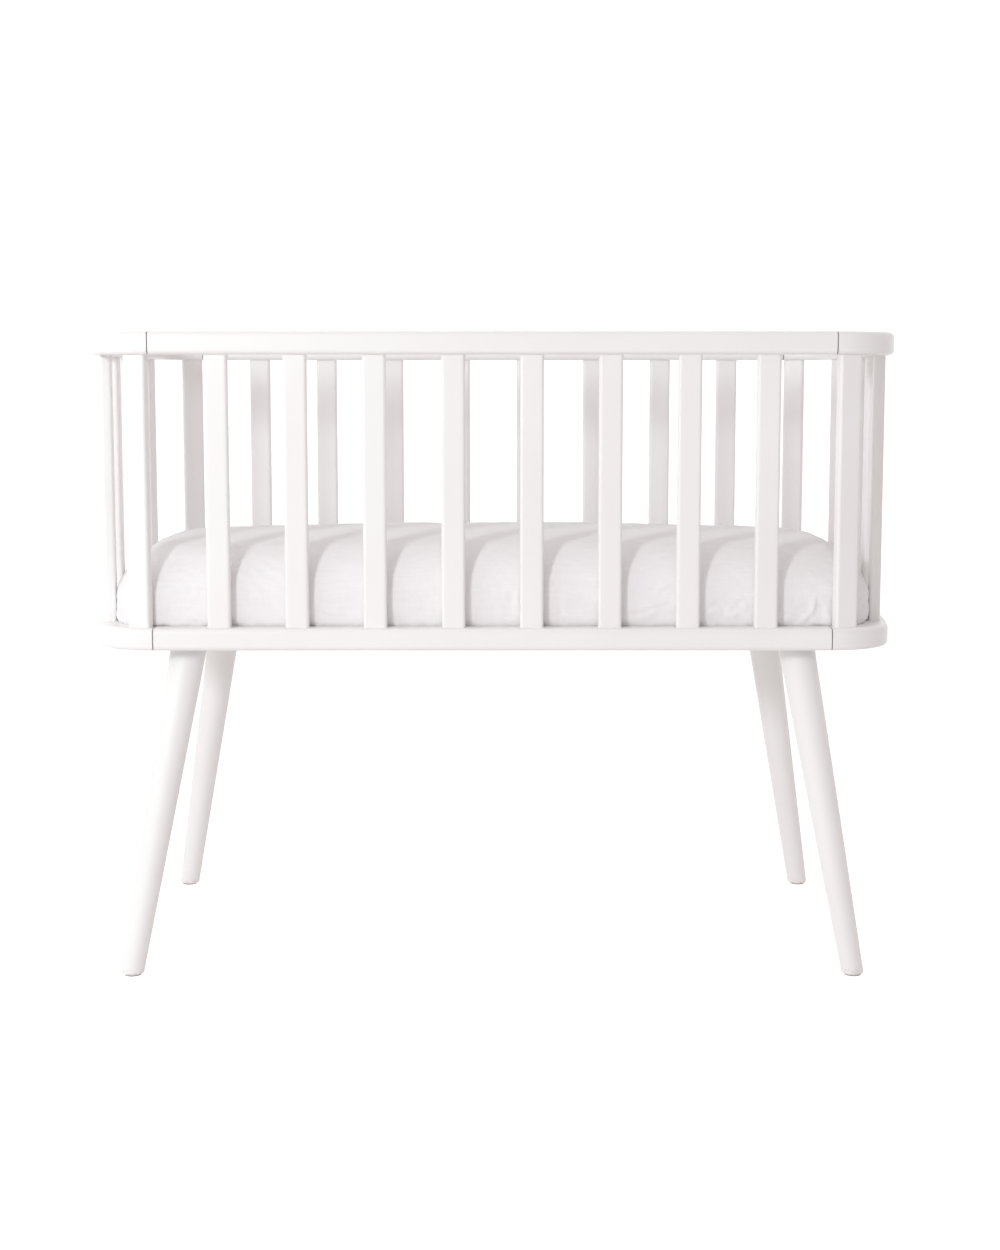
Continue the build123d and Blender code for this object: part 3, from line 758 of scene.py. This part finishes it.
@dataclass
class FittedSheet:
    """White fitted sheet, pulled over the mattress and held by an elastic hem underneath."""

    plan: RingPlan
    cloth: Finish
    gap: float = 0.3 * MM
    thickness: float = 0.8 * MM
    hem: float = 70 * MM
    slack: float = 0.012
    frames: int = 24
    rail_edge: float = 5.5 * MM
    slat_face: float = 6.5 * MM
    wood_gap: float = 0.5 * MM
    at_bottom: float = 1 * MM
    mouth_snap: float = 3 * MM
    pinned_from: float = 20 * MM
    front_line: float = 165 * MM
    front_blend: tuple[float, float] = (120 * MM, 170 * MM)
    gather_depth: float = 1.3 * MM
    gather_waves: int = 20
    gather_z: float = 403 * MM
    gather_height: float = 16 * MM
    gather_below: float = 18 * MM
    gather_inset: float = 12 * MM
    gather_blend: tuple[float, float] = (6 * MM, 14 * MM)
    # Cut for a mattress of 380 x 860 mm: its size, two heights of 107 mm and two hems of 70 mm.
    # The corners are cut round, which takes the area below width times length.
    flat_width: float = 734 * MM
    flat_length: float = 1214 * MM
    flat_area: float = 0.752
    # From x and z to x and z, then the width and the height of the ridge
    creases: tuple[Crease, ...] = (
        Crease((0.3585, 0.430), (0.3555, 0.406), 2.6 * MM, 2.6 * MM),
        Crease((0.3565, 0.414), (0.342, 0.398), 3.0 * MM, 2.4 * MM),
        Crease((0.340, 0.410), (0.322, 0.400), 5.0 * MM, 1.5 * MM),
        Crease((0.236, 0.422), (0.254, 0.428), 3.5 * MM, 1.2 * MM),
        Crease((0.234, 0.406), (0.250, 0.414), 3.0 * MM, 1.5 * MM),
        Crease((0.256, 0.428), (0.286, 0.425), 3.0 * MM, 1.0 * MM),
        Crease((0.262, 0.404), (0.282, 0.415), 2.8 * MM, 1.4 * MM),
        Crease((0.154, 0.413), (0.196, 0.423), 3.0 * MM, 1.4 * MM),
        Crease((0.160, 0.402), (0.186, 0.414), 3.0 * MM, 1.5 * MM),
        Crease((0.178, 0.433), (0.200, 0.445), 3.4 * MM, 1.2 * MM),
        Crease((0.150, 0.446), (0.186, 0.458), 4.5 * MM, 0.8 * MM),
        Crease((0.168, 0.472), (0.200, 0.474), 3.0 * MM, 0.8 * MM),
        Crease((0.060, 0.478), (0.110, 0.481), 3.0 * MM, 0.8 * MM),
        Crease((0.064, 0.470), (0.104, 0.472), 3.0 * MM, 0.7 * MM),
        Crease((0.070, 0.432), (0.112, 0.427), 4.0 * MM, 0.7 * MM),
        Crease((0.078, 0.408), (0.104, 0.404), 3.0 * MM, 0.8 * MM),
        Crease((-0.020, 0.424), (0.022, 0.429), 4.0 * MM, 0.7 * MM),
        Crease((-0.112, 0.428), (-0.066, 0.431), 3.5 * MM, 0.7 * MM),
        Crease((-0.192, 0.414), (-0.172, 0.407), 2.6 * MM, 1.4 * MM),
        Crease((-0.180, 0.418), (-0.166, 0.408), 2.6 * MM, 1.2 * MM),
        Crease((-0.196, 0.427), (-0.150, 0.428), 3.0 * MM, 0.7 * MM),
        Crease((-0.342, 0.408), (-0.330, 0.400), 2.6 * MM, 1.4 * MM),
    )

    def build(self, core: Piece) -> Piece:
        """Make the sheet over a finished mattress.

        Args:
            core: The mattress that the sheet is pulled over.

        Returns:
            The finished sheet.
        """
        sheet = bpy.data.objects.new("fitted_sheet_cotton", core.data.copy())
        bpy.context.scene.collection.objects.link(sheet)
        sheet.data.materials.clear()
        choose(sheet)
        bpy.ops.object.mode_set(mode="EDIT")
        bpy.ops.mesh.select_all(action="SELECT")
        bpy.ops.transform.shrink_fatten(value=self.gap + self.thickness / 2)
        bpy.ops.object.mode_set(mode="OBJECT")
        self.cut_mouth(sheet, core)
        self.drape(sheet, core)
        self.settle(sheet, core)
        self.refine(sheet, self.on_front_side)
        self.refine(sheet, self.near_creases)
        self.refine(sheet, self.at_gathers)
        self.gather(sheet)
        self.crease(sheet)
        self.give_thickness(sheet)
        choose(sheet)
        bpy.ops.object.shade_smooth()
        sheet.data.materials.append(self.cloth.build())
        return sheet

    def cut_mouth(self, sheet: Piece, core: Piece) -> None:
        """Cut the underside away inside the hem and pin what is left there.

        Args:
            sheet: Closed skin round the mattress.
            core: The mattress.
        """
        bottom = read_points(core)[:, 2].min()
        inner = -self.plan.rail_width / 2 - self.hem
        middles = self.face_middles(sheet)
        middle_away, _ = self.plan.measure(middles)
        underneath = middles[:, 2] < bottom + 2 * self.at_bottom
        self.pick_faces(sheet, underneath & (middle_away < inner))
        bpy.ops.mesh.delete(type="FACE")
        bpy.ops.object.mode_set(mode="OBJECT")
        pins = sheet.vertex_groups.new(name="pins")
        points = read_points(sheet)
        away, way = self.plan.measure(points)
        low = points[:, 2] < bottom + self.at_bottom
        near = low & (np.abs(away - inner) < self.mouth_snap)
        points[near, :2] += way[near] * (inner - away[near])[:, None]
        write_points(sheet, points)
        held = np.where(low & (away < -self.plan.rail_width / 2 - self.pinned_from))[0]
        pins.add([int(i) for i in held], 1.0, "REPLACE")

    def drape(self, sheet: Piece, core: Piece) -> None:
        """Let the slightly slack cloth settle over the mattress.

        Args:
            sheet: Skin with its mouth cut and its hem pinned.
            core: The mattress that it falls on.
        """
        wall = core.modifiers.new("Wall", "COLLISION")
        core.collision.thickness_outer = 0.6 * MM
        core.collision.cloth_friction = 12.0
        cloth = sheet.modifiers.new("Drape", "CLOTH")
        settings = cloth.settings
        settings.quality = 6
        settings.mass = 0.05
        settings.tension_stiffness = 20.0
        settings.compression_stiffness = 12.0
        settings.shear_stiffness = 6.0
        settings.bending_stiffness = 0.02
        settings.shrink_min = -self.slack
        settings.vertex_group_mass = "pins"
        cloth.collision_settings.collision_quality = 3
        cloth.collision_settings.distance_min = 0.6 * MM
        cloth.collision_settings.use_self_collision = False
        cloth.point_cache.frame_start = 1
        cloth.point_cache.frame_end = self.frames
        scene = bpy.context.scene
        for frame in range(1, self.frames + 1):
            scene.frame_set(frame)
        apply_modifier(sheet, cloth.name)
        core.modifiers.remove(wall)
        scene.frame_set(1)

    def settle(self, sheet: Piece, core: Piece) -> None:
        """Keep the sheet just outside the mattress and clear of the board, the rails and the slats.

        Args:
            sheet: The draped sheet.
            core: The mattress under it.
        """
        tree = BVHTree.FromObject(core, bpy.context.evaluated_depsgraph_get())
        points = read_points(sheet)
        least = self.gap + self.thickness / 2
        for i, point in enumerate(points):
            spot, normal, _, _ = tree.find_nearest(Vector(point))
            height = (Vector(point) - spot).dot(normal)
            if height < least:
                points[i] = np.array(spot + normal * least)
        points[:, 2] = np.maximum(points[:, 2], read_points(core)[:, 2].min() - least)
        away, way = self.plan.measure(points)
        over = np.maximum(away - self.room(points[:, 2]), 0.0)
        points[:, :2] -= way * over[:, None]
        write_points(sheet, points)

    def room(self, height: Array) -> Array:
        """How far out from the rings' centreline the sheet may come, short of the wood.

        Args:
            height: Heights above the floor.

        Returns:
            The distance at each height, negative inside the centreline.
        """
        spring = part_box("lower_front_rail")[1].z - self.rail_edge
        up = np.clip(height - spring, 0.0, self.rail_edge)
        rail = -self.plan.rail_width / 2 + self.rail_edge - np.sqrt(self.rail_edge**2 - up**2)
        wood = np.where(height < spring + self.rail_edge + self.wood_gap, rail, -self.slat_face)
        return np.minimum(wood, -self.slat_face) - self.wood_gap - self.thickness / 2

    def on_front_side(self, points: Array) -> Array:
        """Which points lie on the front side."""
        return points[:, 1] < -self.front_line

    def near_creases(self, points: Array) -> Array:
        """Find the points near a crease of the front side.

        Args:
            points: Rows of x, y and z.

        Returns:
            True for each row that lies near one.
        """
        near = np.zeros(len(points), bool)
        for crease in self.creases:
            near |= crease.lift(points) > 0.02 * crease.height
        return near & self.on_front_side(points)

    def corner_place(self, points: Array) -> tuple[Array, Array]:
        """How strongly points belong to the gathers of a corner, and where they lie round it.

        Args:
            points: Rows of x, y and z.

        Returns:
            The share from 0 to 1 and the angle round the corner of each row.
        """
        centre = (self.plan.half_straight - self.gather_inset, self.plan.corner_y - self.gather_inset)
        corner = np.abs(points[:, :2]) - centre
        inside = smooth(corner.min(axis=1), -self.gather_blend[0], self.gather_blend[1])
        low = np.exp(-(((points[:, 2] - self.gather_z) / self.gather_height) ** 2))
        return inside * low, np.arctan2(corner[:, 1], corner[:, 0])

    def at_gathers(self, points: Array) -> Array:
        """Which points lie in the gathers of a corner."""
        return (self.corner_place(points)[0] > 0.03) & (points[:, 2] > self.gather_z - self.gather_below)

    @staticmethod
    def face_middles(sheet: Piece) -> Array:
        """Read the middles of the faces.

        Args:
            sheet: Mesh object.

        Returns:
            Rows of x, y and z.
        """
        middles = np.zeros(len(sheet.data.polygons) * 3)
        sheet.data.polygons.foreach_get("center", middles)
        return middles.reshape(-1, 3)

    @staticmethod
    def pick_faces(sheet: Piece, picked: Array) -> None:
        """Go to edit mode with only some faces selected.

        Args:
            sheet: Mesh object.
            picked: True for each face that is selected.
        """
        sheet.data.vertices.foreach_set("select", np.zeros(len(sheet.data.vertices), bool))
        sheet.data.edges.foreach_set("select", np.zeros(len(sheet.data.edges), bool))
        sheet.data.polygons.foreach_set("select", picked)
        choose(sheet)
        bpy.ops.object.mode_set(mode="EDIT")
        bpy.ops.mesh.select_mode(type="FACE")

    def refine(self, sheet: Piece, chosen: Callable[[Array], Array]) -> None:
        """Split the chosen faces into four, rounded as the cloth is.

        Args:
            sheet: The sheet before it gets its thickness.
            chosen: Tells from the faces' middles which of them are split.
        """
        self.pick_faces(sheet, chosen(self.face_middles(sheet)))
        bpy.ops.mesh.subdivide(number_cuts=1, smoothness=1.0)
        bpy.ops.object.mode_set(mode="OBJECT")

    def gather(self, sheet: Piece) -> None:
        """Draw the lower edge of the four corners into the small gathers of the elastic hem.

        Args:
            sheet: The sheet before it gets its thickness.
        """
        points, normals = read_points(sheet), read_normals(sheet)
        share, turn = self.corner_place(points)
        # The inner sine wanders round the corner and up the side, so that no two gathers are alike.
        waves = np.sin(self.gather_waves * turn + 1.3 * np.sin(5 * turn + 40 * points[:, 2]))
        lift = self.gather_depth * (1 + waves) / 2 * share
        write_points(sheet, points + normals * lift[:, None])

    def crease(self, sheet: Piece) -> None:
        """Raise the creases on the front side.

        Args:
            sheet: The sheet before it gets its thickness.
        """
        points, normals = read_points(sheet), read_normals(sheet)
        front = smooth(-points[:, 1], *self.front_blend)
        lift = sum(c.lift(points) for c in self.creases) * front
        write_points(sheet, points + normals * lift[:, None])

    def give_thickness(self, sheet: Piece) -> None:
        """Turn the surface into a thin closed shell.

        Args:
            sheet: The finished surface.
        """
        solid = sheet.modifiers.new("Cloth", "SOLIDIFY")
        solid.thickness = self.thickness
        solid.offset = 0.0
        apply_modifier(sheet, solid.name)


@dataclass
class WoodenFrame:
    """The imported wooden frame, its board and its fixings, each dressed in its own finish."""

    upright: Finish
    lengthwise: Finish
    crosswise: Finish
    leg: Finish
    board: Finish
    dowel: Finish
    steel: Finish
    felt: Finish

    def finish_of(self, node: str) -> Finish:
        """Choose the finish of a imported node.

        Args:
            node: The node's name.

        Returns:
            Its finish.
        """
        if node.startswith("slat_"):
            return self.upright
        if node.endswith("_end_rail"):
            return self.crosswise
        if node.endswith("_rail"):
            return self.lengthwise
        if node.startswith("foot_pad"):
            return self.felt
        if node.endswith("dowels"):
            return self.dowel
        if node == "base_board":
            return self.board
        if "screw" in node or "plate" in node or "bolt" in node or "insert" in node:
            return self.steel
        return self.leg

    def dress(self, nodes: dict[str, Piece]) -> None:
        """Give every wooden and metal node its material.

        Args:
            nodes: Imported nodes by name.
        """
        made: dict[str, bpy.types.Material] = {}
        for name, node in nodes.items():
            if name in ("mattress", "fitted_sheet"):
                continue
            finish = self.finish_of(name)
            if finish.name not in made:
                made[finish.name] = finish.build()
            node.data.materials.clear()
            node.data.materials.append(made[finish.name])
            log.info("%s: %s", name, finish.name)


@dataclass(frozen=True)
class SoftLamp:
    """Rectangular soft box that points at a spot of the cradle."""

    name: str
    place: tuple[float, float, float]
    target: tuple[float, float, float]
    width: float
    height: float
    power: float
    colour: str

    def hang(self) -> None:
        """Add the lamp."""
        bpy.ops.object.light_add(type="AREA", location=self.place)
        lamp = bpy.context.object
        lamp.name = self.name
        lamp.data.shape = "RECTANGLE"
        lamp.data.size = self.width
        lamp.data.size_y = self.height
        lamp.data.energy = self.power
        lamp.data.color = linear(self.colour)[:3]
        away = Vector(self.place) - Vector(self.target)
        lamp.rotation_euler = away.to_track_quat("Z", "Y").to_euler()


@dataclass
class Studio:
    """White paper and room, soft light from the front left and the camera at the photograph's place."""

    paper: Finish
    room_colour: str = "#FFFAF9"
    room_left: float = 0.74
    room_right: float = 0.62
    half_width: float = 6.0
    front_y: float = -4.5
    cove_y: float = 1.6
    cove_radius: float = 1.2
    wall_top: float = 4.5
    half_room: float = 7.0
    room_height: float = 8.0
    camera_place: tuple[float, float, float] = (4.87 * MM, -2398.85 * MM, 655.65 * MM)
    camera_down: float = 6.718
    camera_right: float = 0.086
    lens: float = 57.28
    lamps: tuple[SoftLamp, ...] = (
        SoftLamp("key_lamp", (-1.15, -2.4, 1.08), (0.0, 0.0, 0.6), 0.32, 0.32, 20.0, "#F8FCFF"),
        SoftLamp("side_lamp", (-1.75, -0.9, 0.95), (0.0, 0.0, 0.55), 1.5, 1.5, 6.0, "#F8FCFF"),
    )

    def build(self) -> None:
        """Set up the paper, the room and its light, the lamps and the camera."""
        white = self.paper.build()
        self.lay_paper(white)
        self.close_room(white)
        world = bpy.data.worlds.new("white_room")
        bpy.context.scene.world = world
        world.use_nodes = True
        room = world.node_tree.nodes["Background"]
        room.inputs["Color"].default_value = linear(self.room_colour)
        tree = world.node_tree
        way = add_node(tree, "TexCoord").outputs["Generated"]
        across = add_node(tree, "SeparateXYZ", links={"0": way}).outputs["X"]
        settings = {"From Min": -1.0, "To Min": self.room_left, "To Max": self.room_right}
        fade = add_node(tree, "MapRange", settings, {"Value": across})
        connect(tree, room, {"Strength": fade})
        for lamp in self.lamps:
            lamp.hang()
        self.place_camera()
        bpy.context.scene.view_settings.view_transform = "Standard"

    def lay_paper(self, white: bpy.types.Material) -> None:
        """Lay the paper on the floor and turn it up into a wall through a cove, as the lacquer mirrors it.

        Args:
            white: Material of the paper.
        """
        bpy.ops.object.select_all(action="DESELECT")
        bpy.ops.mesh.primitive_plane_add(size=2.0, location=(0, 0, 0))
        paper = bpy.context.object
        paper.name = "paper_sweep"
        bpy.ops.object.mode_set(mode="EDIT")
        bpy.ops.mesh.select_all(action="SELECT")
        depth = self.cove_y - self.front_y
        bpy.ops.transform.resize(value=(self.half_width, depth / 2, 1))
        bpy.ops.transform.translate(value=(0, (self.cove_y + self.front_y) / 2, 0))
        bpy.ops.object.mode_set(mode="OBJECT")
        self.choose_back_edge(paper, self.cove_y)
        bpy.ops.object.mode_set(mode="EDIT")
        turn = math.radians(90)
        bpy.ops.mesh.spin(steps=24, angle=turn, center=(0, self.cove_y, self.cove_radius), axis=(1, 0, 0))
        rise = self.wall_top - self.cove_radius
        bpy.ops.mesh.extrude_region_move(TRANSFORM_OT_translate={"value": (0, 0, rise)})
        bpy.ops.mesh.select_all(action="SELECT")
        bpy.ops.mesh.remove_doubles(threshold=0.1 * MM)
        bpy.ops.mesh.normals_make_consistent(inside=False)
        bpy.ops.object.mode_set(mode="OBJECT")
        bpy.ops.object.shade_smooth()
        paper.data.materials.append(white)
        paper.visible_camera = False
        paper.visible_diffuse = False
        paper.visible_shadow = False

    def close_room(self, white: bpy.types.Material) -> None:
        """Stand a plain white room with rounded edges round the cradle, which only the camera sees.

        Args:
            white: Material of its floor, walls and ceiling.
        """
        bpy.ops.object.select_all(action="DESELECT")
        bpy.ops.mesh.primitive_cube_add(size=2.0, location=(0, 0, 0))
        room = bpy.context.object
        room.name = "backdrop_room"
        bpy.ops.object.mode_set(mode="EDIT")
        bpy.ops.mesh.select_all(action="SELECT")
        bpy.ops.transform.resize(value=(self.half_room, self.half_room, self.room_height / 2))
        bpy.ops.transform.translate(value=(0, 0, self.room_height / 2))
        bpy.ops.mesh.bevel(offset=self.cove_radius, segments=12, affect="EDGES")
        bpy.ops.mesh.select_all(action="SELECT")
        bpy.ops.mesh.normals_make_consistent(inside=True)
        bpy.ops.object.mode_set(mode="OBJECT")
        bpy.ops.object.shade_smooth()
        room.data.materials.append(white)
        room.visible_diffuse = False
        room.visible_glossy = False
        room.visible_transmission = False
        room.visible_shadow = False

    @staticmethod
    def choose_back_edge(paper: Piece, back_y: float) -> None:
        """Select only the edge of the paper that lies furthest back.

        Args:
            paper: The flat paper.
            back_y: Where that edge lies.
        """
        for face in paper.data.polygons:
            face.select = False
        for vertex in paper.data.vertices:
            vertex.select = abs(vertex.co.y - back_y) < MM
        for edge in paper.data.edges:
            edge.select = all(paper.data.vertices[i].select for i in edge.vertices)

    def place_camera(self) -> None:
        """Put the camera where the photograph was taken from."""
        bpy.ops.object.camera_add(location=self.camera_place)
        camera = bpy.context.object
        camera.name = "photo_camera"
        camera.data.lens = self.lens
        turn = (math.radians(90 - self.camera_down), 0.0, math.radians(-self.camera_right))
        camera.rotation_euler = turn
        bpy.context.scene.camera = camera


def main() -> None:
    """Dress the frame, make the bedding and set up the studio."""
    logging.basicConfig(level=logging.INFO, format="%(message)s")
    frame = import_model()
    bpy.context.view_layer.update()
    bpy.ops.object.select_all(action="DESELECT")
    plan = RingPlan.from_frame()
    white = "#F4F3F2"
    satin = 0.42
    WoodenFrame(
        upright=SprayedBeech("sprayed_beech_upright", white, satin, grain=Grain.ALONG_Z),
        lengthwise=SprayedBeech(
            "sprayed_beech_lengthwise", white, satin, grain=Grain.ALONG_X, seam_x=plan.half_straight
        ),
        crosswise=SprayedBeech(
            "sprayed_beech_crosswise", white, satin, grain=Grain.ALONG_Y, seam_x=plan.half_straight
        ),
        leg=SprayedBeech("sprayed_beech_turned_leg", white, satin, grain=Grain.ALONG_Z, scuffed=True),
        board=RolledPlywood("rolled_paint_plywood", "#EFECE9", 0.55),
        dowel=TurnedBeech("turned_beech_dowel", "#CDA77A", 0.6),
        steel=ZincPlatedSteel("zinc_plated_steel", "#B9BDC1", 0.34),
        felt=PressedFelt("pressed_wool_felt", "#DDD9D5", 0.95),
    ).dress(frame["nodes"])
    cover = WovenCotton("woven_cotton_cover", "#ECE8E2", 0.9)
    core = MattressCore(plan, cover).build(frame["nodes"]["mattress"])
    maker = FittedSheet(plan, WovenCotton("woven_cotton_sheet", "#F5F3F4", 0.85))
    sheet = maker.build(core)
    bedding = ((core, "mattress", "mattress_cover"), (sheet, "fitted_sheet", "sheet_cotton"))
    for piece, node, slot in bedding:
        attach(piece, "mattress_set")
        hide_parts(node)
        log.info("%s: %d faces", piece.name, len(piece.data.polygons))
    Studio(StudioPaper("studio_paper", "#F4F2F1", 0.9)).build()


if __name__ == "__main__":
    main()
